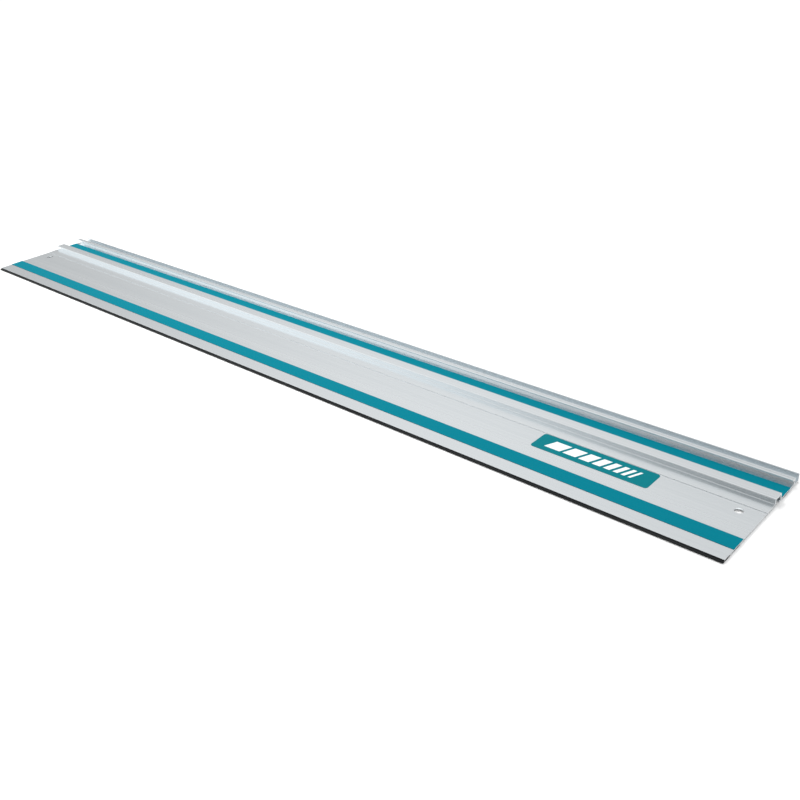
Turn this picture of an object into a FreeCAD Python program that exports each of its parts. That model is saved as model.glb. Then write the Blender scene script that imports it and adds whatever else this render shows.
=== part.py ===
"""Guide rail for a track plunge saw: one aluminium extrusion with bonded strips and a badge.

The section is drawn in the YZ plane and runs along X. In the drawing, y is measured from the
aluminium's cutting edge towards the rear, and z from the top of its plate. Every body has the
same Placement, which puts the origin under the middle of the rail, on the bench.
"""
import FreeCAD, Part
import os

import Sketcher

TOLERANCE = 0.01

DIMENSIONS = [
    ("rail_length", 1400.0, "length of the extrusion"),
    ("rear_edge", 178.0, "width of the aluminium"),
    ("plate_thickness", 1.8, "thickness of the plate"),
    ("foot_drop", 2.8, "depth of the aluminium feet under the plate's top"),
    ("foot_width", 2.0, "width of the feet behind the rib and before the channel"),
    ("upstand", 7.0, "height of rib and channel over the plate's top"),
    ("shoulder_front", 97.0, "cutting edge to the thicker shoulder before the rib"),
    ("shoulder_rise", 0.45, "step up from plate to shoulder"),
    ("scribe_width", 1.0, "width of the scribed groove along the shoulder"),
    ("scribe_depth", 0.25, "depth of the scribed groove along the shoulder"),
    ("rib_front", 116.2, "cutting edge to the rib's front face"),
    ("rib_width", 15.6, "width of the rib"),
    ("rib_wall", 1.7, "thickness of the rib's two walls"),
    ("rib_roof", 1.8, "thickness of the rib's roof"),
    ("lip_thickness", 1.6, "thickness of the lips under the T-slot"),
    ("lip_width", 2.0, "reach of each lip under the T-slot"),
    ("channel_front", 160.5, "cutting edge to the channel's overhanging flange"),
    ("flange_width", 6.5, "width of the flange"),
    ("flange_thickness", 2.1, "thickness of the flange"),
    ("undercut_depth", 4.3, "depth of the groove under the flange"),
    ("crease_front", 3.5, "flange's front edge to the crease along it"),
    ("crease_width", 0.6, "width of the crease"),
    ("crease_depth", 0.3, "depth of the crease"),
    ("rear_wall", 2.0, "thickness of the rear wall"),
    ("slot_floor", 2.0, "thickness of the top slot's floor"),
    ("glide_width", 21.4, "width of a glide strip"),
    ("glide_thickness", 0.65, "thickness of a glide strip"),
    ("glide_recess", 0.2, "depth of a glide strip's recess"),
    ("front_glide_front", 20.1, "cutting edge to the front glide strip"),
    ("rear_glide_front", 134.4, "cutting edge to the rear glide strip"),
    ("grip_width", 18.0, "width of a foam grip strip"),
    ("grip_thickness", 1.8, "thickness of a foam grip strip"),
    ("grip_length", 1399.0, "length of a foam grip strip"),
    ("front_grip_front", 17.0, "cutting edge to the front grip strip"),
    ("rear_grip_front", 137.0, "cutting edge to the rear grip strip"),
    ("bead_width", 0.9, "width of the beads beside the grip strips"),
    ("bead_height", 0.5, "height of the beads beside the grip strips"),
    ("bead_gap", 0.3, "gap between a bead and its grip strip"),
    ("guard_reach", 3.2, "reach of the splinter guard past the aluminium"),
    ("guard_bond", 12.5, "width of the guard bonded under the plate"),
    ("guard_thickness", 1.6, "thickness of the splinter guard"),
    ("rebate_width", 13.5, "width of the rebate that the guard is bonded in"),
    ("hole_diameter", 10.0, "diameter of a hanging hole"),
    ("hole_end", 24.6, "rail's end to a hanging hole's centre"),
    ("hole_front", 84.4, "cutting edge to a hanging hole's centre"),
    ("badge_length", 152.5, "length of the badge"),
    ("badge_width", 33.0, "width of the badge"),
    ("badge_thickness", 0.2, "thickness of the badge"),
    ("badge_corner", 4.0, "corner radius of the badge"),
    ("badge_end", 119.0, "rail's end to the badge"),
    ("badge_front", 62.9, "cutting edge to the badge"),
    ("rib_round", 1.5, "rounding of the rib's top edges"),
    ("root_fillet", 0.6, "fillet between shoulder and rib"),
    ("flange_round", 1.0, "rounding of the flange's front edges"),
    ("fine_round", 0.3, "rounding of the other long edges"),
    ("guard_round", 0.5, "rounding of the splinter guard's lip"),
]

# Rectangles of the section, each from front to rear and from bottom to top.
RAIL_SOLIDS = [
    ("plate", "0", "Dims.rear_edge", "-Dims.plate_thickness", "0"),
    ("shoulder", "Dims.shoulder_front", "Dims.rib_front", "-Dims.foot_drop", "Dims.shoulder_rise"),
    ("rib", "Dims.rib_front", "Dims.rib_front + Dims.rib_width", "-Dims.foot_drop", "Dims.upstand"),
    (
        "rib_foot",
        "Dims.rib_front + Dims.rib_width",
        "Dims.rib_front + Dims.rib_width + Dims.foot_width",
        "-Dims.foot_drop",
        "0",
    ),
    ("channel_foot", "Dims.channel_front - Dims.foot_width", "Dims.channel_front", "-Dims.foot_drop", "0"),
    ("channel", "Dims.channel_front", "Dims.rear_edge", "-Dims.foot_drop", "Dims.upstand"),
]
RAIL_CUTS = [
    (
        "guard_rebate",
        "0",
        "Dims.rebate_width",
        "-Dims.plate_thickness",
        "Dims.guard_thickness - Dims.foot_drop",
    ),
    (
        "scribed_groove",
        "Dims.shoulder_front - Dims.scribe_width",
        "Dims.shoulder_front",
        "-Dims.scribe_depth",
        "0",
    ),
    (
        "slot_chamber",
        "Dims.rib_front + Dims.rib_wall",
        "Dims.rib_front + Dims.rib_width - Dims.rib_wall",
        "Dims.lip_thickness - Dims.foot_drop",
        "Dims.upstand - Dims.rib_roof",
    ),
    (
        "slot_mouth",
        "Dims.rib_front + Dims.rib_wall + Dims.lip_width",
        "Dims.rib_front + Dims.rib_width - Dims.rib_wall - Dims.lip_width",
        "-Dims.foot_drop",
        "Dims.lip_thickness - Dims.foot_drop",
    ),
    (
        "undercut",
        "Dims.channel_front",
        "Dims.channel_front + Dims.undercut_depth",
        "0",
        "Dims.upstand - Dims.flange_thickness",
    ),
    (
        "top_slot",
        "Dims.channel_front + Dims.flange_width",
        "Dims.rear_edge - Dims.rear_wall",
        "Dims.slot_floor - Dims.foot_drop",
        "Dims.upstand",
    ),
    (
        "crease",
        "Dims.channel_front + Dims.crease_front",
        "Dims.channel_front + Dims.crease_front + Dims.crease_width",
        "Dims.upstand - Dims.crease_depth",
        "Dims.upstand",
    ),
]

document = FreeCAD.newDocument("guide_rail")
sheet = document.addObject("Spreadsheet::Sheet", "Dims")
for row, (alias, size, meaning) in enumerate(DIMENSIONS, start=1):
    sheet.set(f"A{row}", meaning)
    sheet.set(f"B{row}", str(size))
    sheet.setAlias(f"B{row}", alias)
document.recompute()


def value(expression):
    """The value in millimetres of an expression of the sheet's cells."""
    return float(sheet.evalExpression(expression))


def make_body(name):
    """An empty body in the shared Placement."""
    body = document.addObject("PartDesign::Body", name)
    body.Label = name
    body.setExpression("Placement.Base.y", "(Dims.guard_reach - Dims.rear_edge) / 2")
    body.setExpression("Placement.Base.z", "Dims.plate_thickness + Dims.grip_thickness")
    return body


def make_sketch(body, name, role):
    """A sketch on one of the body's own origin planes."""
    plane = next(item for item in body.Origin.OriginFeatures if item.Role == role)
    sketch = body.newObject("Sketcher::SketchObject", name)
    sketch.AttachmentSupport = [(plane, "")]
    sketch.MapMode = "FlatFace"
    return sketch


def locate(sketch, geometry, point, across, up):
    """Binds a point's two distances from the sketch's origin to expressions."""
    for axis, expression in (("X", across), ("Y", up)):
        constraint = Sketcher.Constraint(f"Distance{axis}", -1, 1, geometry, point, value(expression))
        index = sketch.addConstraint(constraint)
        sketch.setExpression(f"Constraints[{index}]", expression)


def add_rectangle(sketch, left, right, bottom, top):
    """A fully constrained rectangle."""
    x0, x1, y0, y1 = (value(expression) for expression in (left, right, bottom, top))
    corners = [FreeCAD.Vector(x, y, 0) for x, y in ((x0, y0), (x1, y0), (x1, y1), (x0, y1))]
    sides = [
        sketch.addGeometry(Part.LineSegment(corners[i], corners[(i + 1) % 4]), False) for i in range(4)
    ]
    for i in range(4):
        sketch.addConstraint(Sketcher.Constraint("Coincident", sides[i], 2, sides[(i + 1) % 4], 1))
        sketch.addConstraint(Sketcher.Constraint("Vertical" if i % 2 else "Horizontal", sides[i]))
    locate(sketch, sides[0], 1, left, bottom)
    locate(sketch, sides[2], 1, right, top)


def add_circle(sketch, across, up, diameter):
    """A fully constrained circle."""
    centre = FreeCAD.Vector(value(across), value(up), 0)
    circle = sketch.addGeometry(Part.Circle(centre, FreeCAD.Vector(0, 0, 1), value(diameter) / 2), False)
    locate(sketch, circle, 3, across, up)
    index = sketch.addConstraint(Sketcher.Constraint("Diameter", circle, value(diameter)))
    sketch.setExpression(f"Constraints[{index}]", diameter)


def extrude_along_rail(body, name, rectangle, length="Dims.rail_length"):
    """A pad of a section rectangle, as long to one side of the middle as to the other."""
    sketch = make_sketch(body, f"{name}_section", "YZ_Plane")
    add_rectangle(sketch, *rectangle)
    pad = body.newObject("PartDesign::Pad", name)
    pad.Profile = sketch
    pad.SideType = "Symmetric"
    pad.setExpression("Length", length)
    document.recompute()


def cut(body, name, sketch):
    """A pocket right through the body, both ways from the sketch, that has to remove metal."""
    before = body.Shape.Volume
    pocket = body.newObject("PartDesign::Pocket", name)
    pocket.Profile = sketch
    pocket.SideType = "Symmetric"
    pocket.Type = "ThroughAll"
    document.recompute()
    if body.Shape.Volume > before - TOLERANCE:
        raise RuntimeError(f"{name} removes nothing")


def cut_along_rail(body, name, rectangle):
    """A pocket of a section rectangle from end to end."""
    sketch = make_sketch(body, f"{name}_section", "YZ_Plane")
    add_rectangle(sketch, *rectangle)
    cut(body, name, sketch)


def edge_names(shape, wanted):
    """The names of the edges for which wanted(first end, last end) is true."""
    names = []
    for number, edge in enumerate(shape.Edges, start=1):
        if wanted(edge.Vertexes[0].Point, edge.Vertexes[-1].Point):
            names.append(f"Edge{number}")
    return names


def round_edges(body, name, radius, wanted, count):
    """A fillet on exactly count edges."""
    base = body.Tip
    names = edge_names(base.Shape, wanted)
    if len(names) != count:
        raise RuntimeError(f"{name} found {len(names)} edges, not {count}")
    fillet = body.newObject("PartDesign::Fillet", name)
    fillet.Base = (base, names)
    fillet.setExpression("Radius", radius)
    document.recompute()


def round_long_edges(body, name, radius, places):
    """A fillet on the edges that run along the rail at these (across, up) places."""
    spots = [(value(across), value(up)) for across, up in places]

    def wanted(start, end):
        along = abs(start.x - end.x) > value("Dims.grip_length") - 1
        return along and any(
            max(abs(p.y - y) + abs(p.z - z) for p in (start, end)) < TOLERANCE for y, z in spots
        )

    round_edges(body, name, radius, wanted, len(spots))


def glide_rectangle(front, bottom, top):
    """The section of a glide strip or of its recess."""
    return (front, f"{front} + Dims.glide_width", bottom, top)


def make_rail():
    """The aluminium extrusion: plate, shoulder, hollow guide rib with its T-slot, and rear channel."""
    body = make_body("rail_extrusion")
    for name, *rectangle in RAIL_SOLIDS:
        extrude_along_rail(body, name, rectangle)
    bead = "(Dims.bead_gap + Dims.bead_width)"
    for grip in ("front_grip", "rear_grip"):
        front = f"Dims.{grip}_front"
        for side, start in (
            ("front", f"{front} - {bead}"),
            ("rear", f"{front} + Dims.grip_width + Dims.bead_gap"),
        ):
            bottom = "-Dims.plate_thickness - Dims.bead_height"
            rectangle = (start, f"{start} + Dims.bead_width", bottom, "-Dims.plate_thickness")
            extrude_along_rail(body, f"{grip}_{side}_bead", rectangle)
    for name, *rectangle in RAIL_CUTS:
        cut_along_rail(body, name, rectangle)
    for glide in ("front_glide", "rear_glide"):
        recess = glide_rectangle(f"Dims.{glide}_front", "-Dims.glide_recess", "0")
        cut_along_rail(body, f"{glide}_recess", recess)

    holes = make_sketch(body, "hanging_hole_centres", "XY_Plane")
    for across in ("Dims.hole_end - Dims.rail_length / 2", "Dims.rail_length / 2 - Dims.hole_end"):
        add_circle(holes, across, "Dims.hole_front", "Dims.hole_diameter")
    cut(body, "hanging_holes", holes)

    rib_rear = "Dims.rib_front + Dims.rib_width"
    slot_front = "Dims.channel_front + Dims.flange_width"
    slot_rear = "Dims.rear_edge - Dims.rear_wall"
    round_long_edges(
        body,
        "rib_rounding",
        "Dims.rib_round",
        [("Dims.rib_front", "Dims.upstand"), (rib_rear, "Dims.upstand")],
    )
    round_long_edges(body, "rib_root", "Dims.root_fillet", [("Dims.rib_front", "Dims.shoulder_rise")])
    round_long_edges(
        body,
        "flange_rounding",
        "Dims.flange_round",
        [
            ("Dims.channel_front", "Dims.upstand"),
            ("Dims.channel_front", "Dims.upstand - Dims.flange_thickness"),
        ],
    )
    round_long_edges(
        body,
        "fine_rounding",
        "Dims.fine_round",
        [
            ("0", "0"),
            (slot_front, "Dims.upstand"),
            (slot_rear, "Dims.upstand"),
            ("Dims.rear_edge", "Dims.upstand"),
            ("Dims.rear_edge", "-Dims.foot_drop"),
            ("Dims.rib_front + Dims.rib_wall + Dims.lip_width", "-Dims.foot_drop"),
            (f"{rib_rear} - Dims.rib_wall - Dims.lip_width", "-Dims.foot_drop"),
        ],
    )
    return body


def make_splinter_guard():
    """The rubber edge strip, bonded in its rebate, with a lip past the aluminium."""
    body = make_body("splinter_guard")
    top = "Dims.guard_thickness - Dims.foot_drop"
    rectangle = ("-Dims.guard_reach", "Dims.guard_bond", "-Dims.foot_drop", top)
    extrude_along_rail(body, "strip", rectangle)
    lip = [("-Dims.guard_reach", "-Dims.foot_drop"), ("-Dims.guard_reach", top)]
    round_long_edges(body, "lip_rounding", "Dims.guard_round", lip)
    return body


def make_glide_strip(name, front):
    """A self-adhesive low-friction strip that the saw's sole slides on."""
    body = make_body(name)
    top = "Dims.glide_thickness - Dims.glide_recess"
    extrude_along_rail(body, "strip", glide_rectangle(front, "-Dims.glide_recess", top))
    return body


def make_grip_strip(name, front):
    """A self-adhesive foam strip that keeps the rail from slipping on the workpiece."""
    body = make_body(name)
    rectangle = (
        front,
        f"{front} + Dims.grip_width",
        "-Dims.plate_thickness - Dims.grip_thickness",
        "-Dims.plate_thickness",
    )
    extrude_along_rail(body, "strip", rectangle, "Dims.grip_length")
    return body


def make_badge():
    """The plain badge on the plate, with round corners."""
    body = make_body("badge")
    right = "Dims.rail_length / 2 - Dims.badge_end"
    outline = make_sketch(body, "outline", "XY_Plane")
    rear = "Dims.badge_front + Dims.badge_width"
    add_rectangle(outline, f"{right} - Dims.badge_length", right, "Dims.badge_front", rear)
    pad = body.newObject("PartDesign::Pad", "film")
    pad.Profile = outline
    pad.setExpression("Length", "Dims.badge_thickness")
    document.recompute()
    round_edges(body, "corners", "Dims.badge_corner", lambda a, b: abs(a.z - b.z) > TOLERANCE, 4)
    return body


def check_document():
    """Stops if any object failed to recompute."""
    for item in document.Objects:
        if "Invalid" in item.State or "Error" in item.State:
            raise RuntimeError(f"{item.Label} failed: {item.State}")


bodies = [
    make_rail(),
    make_splinter_guard(),
    make_glide_strip("front_glide_strip", "Dims.front_glide_front"),
    make_glide_strip("rear_glide_strip", "Dims.rear_glide_front"),
    make_grip_strip("front_grip_strip", "Dims.front_grip_front"),
    make_grip_strip("rear_grip_strip", "Dims.rear_grip_front"),
    make_badge(),
]
document.recompute()
check_document()
for body in bodies:
    if body.Shape.isNull() or not body.Shape.isValid() or len(body.Shape.Solids) != 1:
        raise RuntimeError(f"{body.Label} has no single valid solid")
os.makedirs("parts", exist_ok=True)
for body in bodies:
    body.Shape.exportStep(f"parts/{body.Label}.step")
    box = body.Shape.BoundBox
    size = f"{box.XLength:.1f} x {box.YLength:.1f} x {box.ZLength:.2f} mm"
    print(f"{body.Label}: {size} from z {box.ZMin:.2f}, {body.Shape.Volume / 1000:.1f} cm3")
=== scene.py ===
"""Looks of a guide rail for a track plunge saw: extrusion, strips, guard, badge, white studio."""
import math

import bmesh
import bpy
from mathutils import Matrix, Vector, noise


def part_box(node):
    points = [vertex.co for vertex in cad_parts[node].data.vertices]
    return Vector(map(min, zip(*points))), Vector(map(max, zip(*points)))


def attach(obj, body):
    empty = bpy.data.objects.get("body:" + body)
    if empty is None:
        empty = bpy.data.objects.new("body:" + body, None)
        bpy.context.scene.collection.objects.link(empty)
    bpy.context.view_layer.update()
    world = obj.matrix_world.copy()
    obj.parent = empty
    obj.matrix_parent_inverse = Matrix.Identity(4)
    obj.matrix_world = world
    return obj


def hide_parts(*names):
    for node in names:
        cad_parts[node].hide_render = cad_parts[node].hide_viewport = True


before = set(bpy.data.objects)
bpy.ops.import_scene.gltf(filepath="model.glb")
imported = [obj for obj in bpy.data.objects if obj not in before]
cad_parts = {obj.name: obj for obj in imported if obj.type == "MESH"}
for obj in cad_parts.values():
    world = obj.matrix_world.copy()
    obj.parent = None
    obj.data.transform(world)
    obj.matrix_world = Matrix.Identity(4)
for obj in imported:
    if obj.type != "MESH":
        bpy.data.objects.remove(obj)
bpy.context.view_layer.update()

MM = 0.001
ALONG = Vector((1, 0, 0))
TOUCH = 0.01 * MM  # corners this close to a face's height belong to it
SHARP_ANGLE = math.radians(32)

END_CHAMFER = 0.2 * MM  # deburring of the sawn ends
TAPE_ROUND = 0.18 * MM  # cut edges of the glide strips
FOAM_ROUND = 0.6 * MM  # lower edges of the grip strips
FOAM_PARTS = 180  # cuts along a grip strip, for its unevenness
FOAM_SWELL = 0.12 * MM
FOAM_DENT = 0.03 * MM

BADGE_CORNER = 4.0 * MM
BADGE_EDGE = 0.05 * MM  # bevel round the badge's top
BAR_REACH = 8.2  # half the height of the badge's bars, in millimetres
BAR_START = -58.0
BAR_WIDTHS = (21.0, 17.0, 13.5, 10.5, 8.0, 6.0, 4.5, 3.2)
BAR_GAP = 4.2
BAR_LEAN = math.radians(24)


# ---------------------------------------------------------------- finishes


def new_finish(name, **settings):
    """A material whose shader has these fixed settings, and the places on the piece."""
    finish = bpy.data.materials.new(name)
    finish.use_nodes = True
    tree = finish.node_tree
    shader = tree.nodes["Principled BSDF"]
    for socket, setting in settings.items():
        shader.inputs[socket.replace("_", " ")].default_value = setting
    place = tree.nodes.new("ShaderNodeTexCoord")
    return finish, tree, shader, place.outputs["Object"]


def stretch(tree, place, along, across):
    """Places scaled to features per metre along the rail and across it."""
    mapping = tree.nodes.new("ShaderNodeMapping")
    mapping.inputs["Scale"].default_value = (along, across, across)
    tree.links.new(place, mapping.inputs["Vector"])
    return mapping.outputs["Vector"]


def grain(tree, vector, detail=2.0):
    """Noise from 0 to 1 at the scale of its vector."""
    texture = tree.nodes.new("ShaderNodeTexNoise")
    texture.inputs["Scale"].default_value = 1.0
    texture.inputs["Detail"].default_value = detail
    tree.links.new(vector, texture.inputs["Vector"])
    return texture.outputs["Fac"]


def spread(tree, fac, low, high, start=0.3, end=0.7):
    """A value that runs from low to high as fac goes from start to end."""
    node = tree.nodes.new("ShaderNodeMapRange")
    tree.links.new(fac, node.inputs["Value"])
    limits = {"From Min": start, "From Max": end, "To Min": low, "To Max": high}
    for socket, number in limits.items():
        node.inputs[socket].default_value = number
    return node.outputs["Result"]


def tint(tree, fac, *stops):
    """A colour picked by fac between two stops of (place, colour)."""
    ramp = tree.nodes.new("ShaderNodeValToRGB")
    tree.links.new(fac, ramp.inputs["Fac"])
    for element, (place, colour) in zip(ramp.color_ramp.elements, stops):
        element.position, element.color = place, (*colour, 1)
    return ramp.outputs["Color"]


def raise_by(tree, shader, height, distance, strength=1.0):
    """Gives the shader a bump of this height in metres."""
    bump = tree.nodes.new("ShaderNodeBump")
    bump.inputs["Strength"].default_value = strength
    bump.inputs["Distance"].default_value = distance
    tree.links.new(height, bump.inputs["Height"])
    tree.links.new(bump.outputs["Normal"], shader.inputs["Normal"])


def mix(tree, a, b, share):
    """The two values mixed, with this share of b."""
    node = tree.nodes.new("ShaderNodeMix")
    node.inputs[0].default_value = share
    tree.links.new(a, node.inputs[2])
    tree.links.new(b, node.inputs[3])
    return node.outputs[0]


def anodised_finish():
    """Satin anodised aluminium, with die lines along the extrusion and faint sheen bands."""
    finish, tree, shader, place = new_finish("anodised_aluminium", Metallic=1.0)
    die_lines = grain(tree, stretch(tree, place, 0.8, 1500), detail=3.0)
    bands = grain(tree, stretch(tree, place, 0.35, 110), detail=2.0)
    mottle = grain(tree, stretch(tree, place, 160, 600), detail=3.0)
    lines = mix(tree, die_lines, bands, 0.35)
    colour = tint(tree, lines, (0.38, (0.840, 0.888, 0.915)), (0.62, (0.902, 0.944, 0.967)))
    tree.links.new(colour, shader.inputs["Base Color"])
    sheen = mix(tree, bands, mottle, 0.2)
    tree.links.new(spread(tree, sheen, 0.22, 0.28), shader.inputs["Roughness"])
    raise_by(tree, shader, mix(tree, die_lines, mottle, 0.1), 0.002 * MM)
    return finish


def sawn_finish():
    """Bare aluminium of the sawn ends, with the saw's fine marks across them."""
    finish, tree, shader, place = new_finish("sawn_aluminium", Metallic=1.0)
    marks = grain(tree, stretch(tree, place, 900, 2600), detail=2.0)
    tree.links.new(
        tint(tree, marks, (0.3, (0.55, 0.57, 0.58)), (0.7, (0.70, 0.72, 0.73))),
        shader.inputs["Base Color"],
    )
    tree.links.new(spread(tree, marks, 0.28, 0.42), shader.inputs["Roughness"])
    raise_by(tree, shader, marks, 0.015 * MM)
    return finish


def rubber_finish():
    """Matt black rubber with a fine moulded grain and a little dust."""
    finish, tree, shader, place = new_finish("guard_rubber", Specular_IOR_Level=0.12)
    skin = grain(tree, stretch(tree, place, 1500, 3000), detail=3.0)
    dust = grain(tree, stretch(tree, place, 14, 260), detail=4.0)
    tree.links.new(
        tint(tree, dust, (0.35, (0.0085, 0.0095, 0.0105)), (0.75, (0.017, 0.019, 0.020))),
        shader.inputs["Base Color"],
    )
    tree.links.new(spread(tree, skin, 0.48, 0.62), shader.inputs["Roughness"])
    raise_by(tree, shader, skin, 0.02 * MM)
    return finish


def glide_finish():
    """Blue-green low-friction plastic, slightly streaked along its length."""
    finish, tree, shader, place = new_finish("glide_plastic", Specular_IOR_Level=0.02)
    streaks = grain(tree, stretch(tree, place, 1.2, 900), detail=2.0)
    skin = grain(tree, stretch(tree, place, 2400, 2400), detail=2.0)
    tree.links.new(
        tint(tree, streaks, (0.3, (0.0, 0.155, 0.208)), (0.7, (0.0, 0.166, 0.222))),
        shader.inputs["Base Color"],
    )
    sheen = mix(tree, streaks, skin, 0.5)
    tree.links.new(spread(tree, sheen, 0.38, 0.5), shader.inputs["Roughness"])
    raise_by(tree, shader, skin, 0.012 * MM)
    return finish


def film_finish(name, dark, light):
    """Printed badge film, satin with a fine orange-peel."""
    finish, tree, shader, place = new_finish(name, Specular_IOR_Level=0.04)
    peel = grain(tree, stretch(tree, place, 700, 700), detail=2.0)
    tree.links.new(tint(tree, peel, (0.3, dark), (0.7, light)), shader.inputs["Base Color"])
    tree.links.new(spread(tree, peel, 0.30, 0.38), shader.inputs["Roughness"])
    raise_by(tree, shader, peel, 0.006 * MM)
    return finish


def foam_finish():
    """Black closed-cell foam: small cells with painted shade in their hollows, and a cloudy tone.
    """
    finish, tree, shader, place = new_finish("grip_foam", Specular_IOR_Level=0.25)
    cells = tree.nodes.new("ShaderNodeTexVoronoi")
    cells.inputs["Scale"].default_value = 1.0
    tree.links.new(stretch(tree, place, 1900, 1900), cells.inputs["Vector"])
    cloud = grain(tree, stretch(tree, place, 60, 60), detail=3.0)
    # colour: mostly the cell pattern, darkest at each cell's centre where the bump below sinks a
    # pit (painted shade in the hollows), mixed with a random cloudy tone
    tree.links.new(
        tint(tree, mix(tree, cells.outputs["Distance"], cloud, 0.4),
             (0.2, (0.010, 0.010, 0.011)), (0.7, (0.032, 0.032, 0.034))),
        shader.inputs["Base Color"],
    )
    tree.links.new(spread(tree, cloud, 0.82, 0.95), shader.inputs["Roughness"])
    raise_by(tree, shader, cells.outputs["Distance"], 0.12 * MM, 0.8)
    return finish


def floor_finish():
    """Pale painted studio floor."""
    finish, tree, shader, place = new_finish("studio_floor", Specular_IOR_Level=0.0, Roughness=0.9)
    cloud = grain(tree, stretch(tree, place, 1.5, 1.5), detail=2.0)
    tree.links.new(
        tint(tree, cloud, (0.3, (0.86, 0.86, 0.86)), (0.7, (0.88, 0.88, 0.88))),
        shader.inputs["Base Color"],
    )
    return finish


# ---------------------------------------------------------------- pieces


def add_piece(shape, name, finishes, node):
    """The finished piece that stands for a CAD node, with soft corners shaded by angle."""
    mesh = bpy.data.meshes.new(name)
    bmesh.ops.recalc_face_normals(shape, faces=shape.faces)
    shape.to_mesh(mesh)
    shape.free()
    for finish in finishes:
        mesh.materials.append(finish)
    mesh.shade_smooth()
    mesh.set_sharp_from_angle(angle=SHARP_ANGLE)
    piece = bpy.data.objects.new(name, mesh)
    bpy.context.scene.collection.objects.link(piece)
    flat = piece.modifiers.new("flat_faces", "WEIGHTED_NORMAL")
    flat.keep_sharp = True
    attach(piece, "root")
    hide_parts(node)
    return piece


def block(node):
    """A box in the place of a CAD node."""
    low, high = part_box(node)
    shape = bmesh.new()
    bmesh.ops.create_cube(shape, size=1)
    bmesh.ops.scale(shape, vec=high - low, verts=shape.verts)
    bmesh.ops.translate(shape, vec=(low + high) / 2, verts=shape.verts)
    return shape


def soften(shape, edges, size, segments=1):
    """Bevels these edges."""
    bmesh.ops.bevel(
        shape,
        geom=edges,
        offset=size,
        offset_type="OFFSET",
        segments=segments,
        profile=0.5,
        affect="EDGES",
        clamp_overlap=False,
        material=-1,
    )


def runs_along(edge):
    """Whether this edge runs along the rail."""
    return abs((edge.verts[1].co - edge.verts[0].co).normalized().dot(ALONG)) > 0.999


def make_rail():
    """The extrusion, with its sawn ends deburred."""
    shape = bmesh.new()
    shape.from_mesh(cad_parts["rail_extrusion"].data)
    bmesh.ops.remove_doubles(shape, verts=shape.verts, dist=0.001 * MM)
    bmesh.ops.dissolve_limit(
        shape, angle_limit=math.radians(0.3), verts=shape.verts, edges=shape.edges
    )
    ends = [face for face in shape.faces if abs(face.normal.x) > 0.99 and face.calc_area() > 1e-4]
    for face in ends:
        face.material_index = 1
    soften(shape, list({edge for face in ends for edge in face.edges}), END_CHAMFER)
    add_piece(
        shape,
        "extruded_rail",
        [anodised_finish(), sawn_finish()],
        "rail_extrusion",
    )


def make_glide_strip(node, finish):
    """A low-friction strip with its cut edges slightly rounded."""
    shape = block(node)
    top = max(vert.co.z for vert in shape.verts)
    upper = [edge for edge in shape.edges if all(vert.co.z > top - TOUCH for vert in edge.verts)]
    soften(shape, upper, TAPE_ROUND, 3)
    add_piece(shape, f"{node}_tape", [finish], node)


def make_foam_strip(node, finish):
    """A foam strip: bonded flat on top, rounded and slightly uneven below."""
    shape = block(node)
    low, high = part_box(node)
    lower = [
        edge for edge in shape.edges
        if runs_along(edge) and all(vert.co.z < low.z + TOUCH for vert in edge.verts)
    ]
    soften(shape, lower, FOAM_ROUND, 4)
    lengthwise = [edge for edge in shape.edges if runs_along(edge)]
    bmesh.ops.subdivide_edges(shape, edges=lengthwise, cuts=FOAM_PARTS, use_grid_fill=True)
    middle = (low.y + high.y) / 2
    for vert in shape.verts:
        depth = (high.z - vert.co.z) / (high.z - low.z)
        unevenness = noise.noise(Vector((vert.co.x * 24, vert.co.y * 60, 3)))
        inwards = 1 if vert.co.y < middle else -1
        vert.co.y += (FOAM_SWELL * depth) * inwards * (1 + unevenness)
        if depth > 0.99:
            vert.co.z += FOAM_DENT * max(unevenness, 0)
    piece = add_piece(shape, f"{node}_foam", [finish], node)


def make_badge():
    """The badge film, with slanted white bars that get thinner towards the rail's end."""
    low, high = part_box("badge")
    middle = (low + high) / 2
    shape = block("badge")
    upright = [
        edge for edge in shape.edges
        if abs(edge.verts[0].co.z - edge.verts[1].co.z) > BADGE_EDGE
    ]
    soften(shape, upright, BADGE_CORNER, 10)
    shape.normal_update()
    face = next(face for face in shape.faces if face.normal.z > 0.9)
    bmesh.ops.inset_region(
        shape, faces=[face], thickness=BADGE_EDGE, depth=0, use_even_offset=True
    )
    for vert in shape.verts:
        if vert.co.z > high.z - TOUCH and vert not in face.verts:
            vert.co.z -= BADGE_EDGE
    printed = [face]

    def score(across, up, slant):
        """Cuts the printed field along a line through this place, leaning by this slant."""
        spot = middle + Vector((across, up, 0)) * MM
        away = Vector((math.cos(slant), -math.sin(slant), 0))
        geometry = {part for face in printed for part in (face, *face.edges, *face.verts)}
        cut = bmesh.ops.bisect_plane(
            shape, geom=list(geometry), dist=0.0001 * MM, plane_co=spot, plane_no=away
        )
        printed[:] = [part for part in cut["geom"] if isinstance(part, bmesh.types.BMFace)]

    for up in (-BAR_REACH, BAR_REACH):
        score(0, up, math.radians(90))
    bars, start = [], BAR_START
    for width in BAR_WIDTHS:
        bars.append((start, start + width))
        score(start, 0, BAR_LEAN)
        score(start + width, 0, BAR_LEAN)
        start += width + BAR_GAP
    for part in printed:
        centre = part.calc_center_median() - middle
        across = (centre.x - centre.y * math.tan(BAR_LEAN)) / MM
        in_a_bar = any(left < across < right for left, right in bars)
        if abs(centre.y) < BAR_REACH * MM and in_a_bar:
            part.material_index = 1
    teal = film_finish("badge_film", (0.0, 0.148, 0.176), (0.0, 0.158, 0.188))
    white = film_finish("badge_print", (0.70, 0.72, 0.72), (0.76, 0.78, 0.78))
    add_piece(shape, "printed_badge", [teal, white], "badge")


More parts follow.
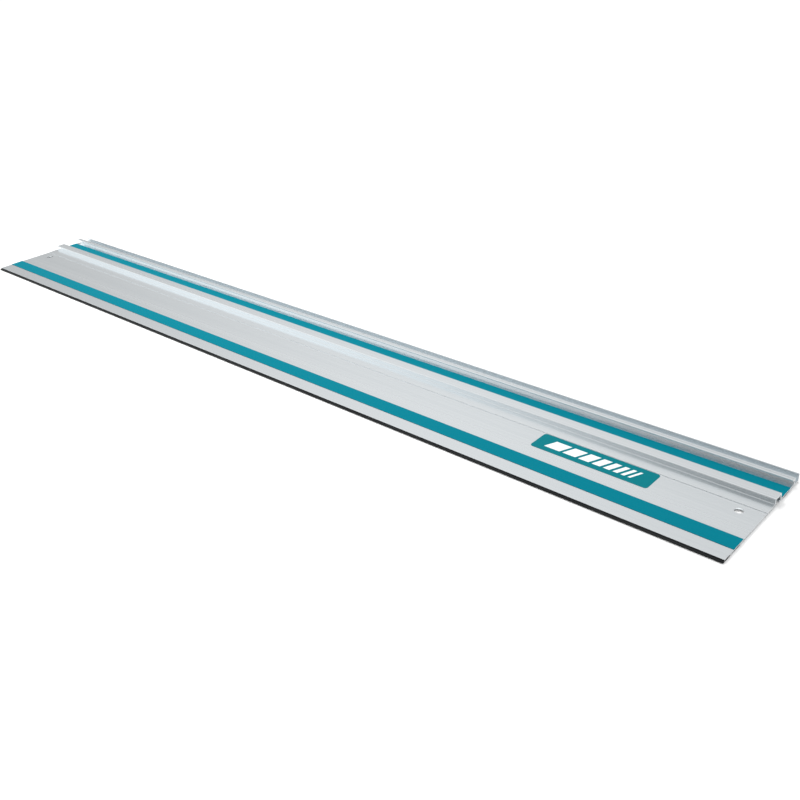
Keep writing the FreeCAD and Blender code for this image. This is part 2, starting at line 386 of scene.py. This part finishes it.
make_rail()
glide_plastic = glide_finish()
for strip in ("front_glide_strip", "rear_glide_strip"):
    make_glide_strip(strip, glide_plastic)
grip_foam = foam_finish()
for strip in ("front_grip_strip", "rear_grip_strip"):
    make_foam_strip(strip, grip_foam)
make_badge()
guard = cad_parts["splinter_guard"]
guard.material_slots[0].material = rubber_finish()


# ---------------------------------------------------------------- studio

GLOW = 0.69
WALLS = [
    # direction, sharpness, strength
    ((0.0, 0.0, 1.0), 1.5, 0.197),
    ((0.0, 0.0, 1.0), 4.0, -0.119),
    ((-0.85, 0.434, 0.3), 12.0, -0.221),
    ((-0.6, 0.64, 0.48), 12.0, 0.211),
    ((-0.27, 0.8, 0.54), 12.0, -0.171),
    ((-0.85, -0.434, 0.3), 12.0, 0.078),
    ((-0.6, -0.64, 0.48), 12.0, 0.607),
    ((-0.27, -0.8, 0.54), 12.0, -0.842),
    ((-1.0, 0.0, 0.1), 12.0, -0.197),
]
FLOOR_RADIUS = 16
CEILING_ENERGY, CEILING_SPREAD = 1.45, math.radians(100)
LEFT_LAMP_ENERGY, LEFT_LAMP_SIZE = 10.5, 1.0
RAIL_MIDDLE = (0.0, 0.0, 0.0)
LEFT_OF_MIDDLE = (-0.4, 0.0, 0.0)

CAMERA_PLACE = (0.988687, -0.832710, 0.599845)
CAMERA_AXES = (
    (0.7446967876933909, 0.665328349448623, -0.052582143535118864),
    (-0.2831354126574639, 0.3862891165036102, 0.8778468297876064),
    (0.6043682921018148, -0.6388418473212554, 0.47604628095488244),
)
LENS, SENSOR_WIDTH = 43.71, 36.0


def make_floor():
    """The studio floor, which the foam strips rest on."""
    shape = bmesh.new()
    bmesh.ops.create_circle(shape, cap_ends=True, segments=96, radius=FLOOR_RADIUS)
    mesh = bpy.data.meshes.new("studio_floor")
    shape.to_mesh(mesh)
    shape.free()
    mesh.materials.append(floor_finish())
    floor = bpy.data.objects.new("studio_floor", mesh)
    bpy.context.scene.collection.objects.link(floor)


def arithmetic(tree, operation, a, b):
    """One step of arithmetic; b may be another result or a plain number."""
    node = tree.nodes.new("ShaderNodeMath")
    node.operation = operation
    tree.links.new(a, node.inputs[0])
    if isinstance(b, float):
        node.inputs[1].default_value = b
    else:
        tree.links.new(b, node.inputs[1])
    return node.outputs[0]


def light_room(glow, walls):
    """A white studio all round: an even glow, with lighter and darker walls."""
    room = bpy.data.worlds.new("white_room")
    room.use_nodes = True
    tree = room.node_tree
    background = tree.nodes["Background"]
    background.inputs["Color"].default_value = (1.0, 1.0, 1.0, 1)
    around = tree.nodes.new("ShaderNodeTexCoord").outputs["Generated"]
    light = None
    for direction, sharpness, strength in walls:
        facing = tree.nodes.new("ShaderNodeVectorMath")
        facing.operation = "DOT_PRODUCT"
        facing.inputs[1].default_value = Vector(direction).normalized()
        tree.links.new(around, facing.inputs[0])
        lobe = arithmetic(tree, "MAXIMUM", facing.outputs["Value"], 0.0)
        lobe = arithmetic(tree, "POWER", lobe, sharpness)
        lobe = arithmetic(tree, "MULTIPLY", lobe, strength)
        light = arithmetic(tree, "ADD", lobe, glow if light is None else light)
    tree.links.new(light, background.inputs["Strength"])
    bpy.context.scene.world = room


def hang_lamp(name, kind, place, target, energy):
    """A soft lamp for the matt surfaces only, so that the metal doesn't mirror it."""
    data = bpy.data.lights.new(name, kind)
    data.energy = energy
    lamp = bpy.data.objects.new(name, data)
    lamp.location = place
    lamp.rotation_euler = (Vector(place) - Vector(target)).to_track_quat("Z", "Y").to_euler()
    lamp.visible_camera = False
    lamp.visible_glossy = False
    bpy.context.scene.collection.objects.link(lamp)
    return data


def set_camera():
    """The camera that shows the rail from its badge's end."""
    data = bpy.data.cameras.new("camera")
    data.lens, data.sensor_width = LENS, SENSOR_WIDTH
    data.clip_start, data.clip_end = 0.01, 100.0
    camera = bpy.data.objects.new("camera", data)
    axes = Matrix(CAMERA_AXES).transposed().to_4x4()
    camera.matrix_world = Matrix.Translation(CAMERA_PLACE) @ axes
    bpy.context.scene.collection.objects.link(camera)
    bpy.context.scene.camera = camera


make_floor()
light_room(GLOW, WALLS)
ceiling = hang_lamp("ceiling", "SUN", (0.0, 0.3, 3.0), RAIL_MIDDLE, CEILING_ENERGY)
ceiling.angle = CEILING_SPREAD
left_lamp = hang_lamp("left_lamp", "AREA", (-0.4, 0.2, 1.1), LEFT_OF_MIDDLE, LEFT_LAMP_ENERGY)
left_lamp.size = LEFT_LAMP_SIZE
set_camera()
bpy.context.scene.view_settings.view_transform = "Standard"
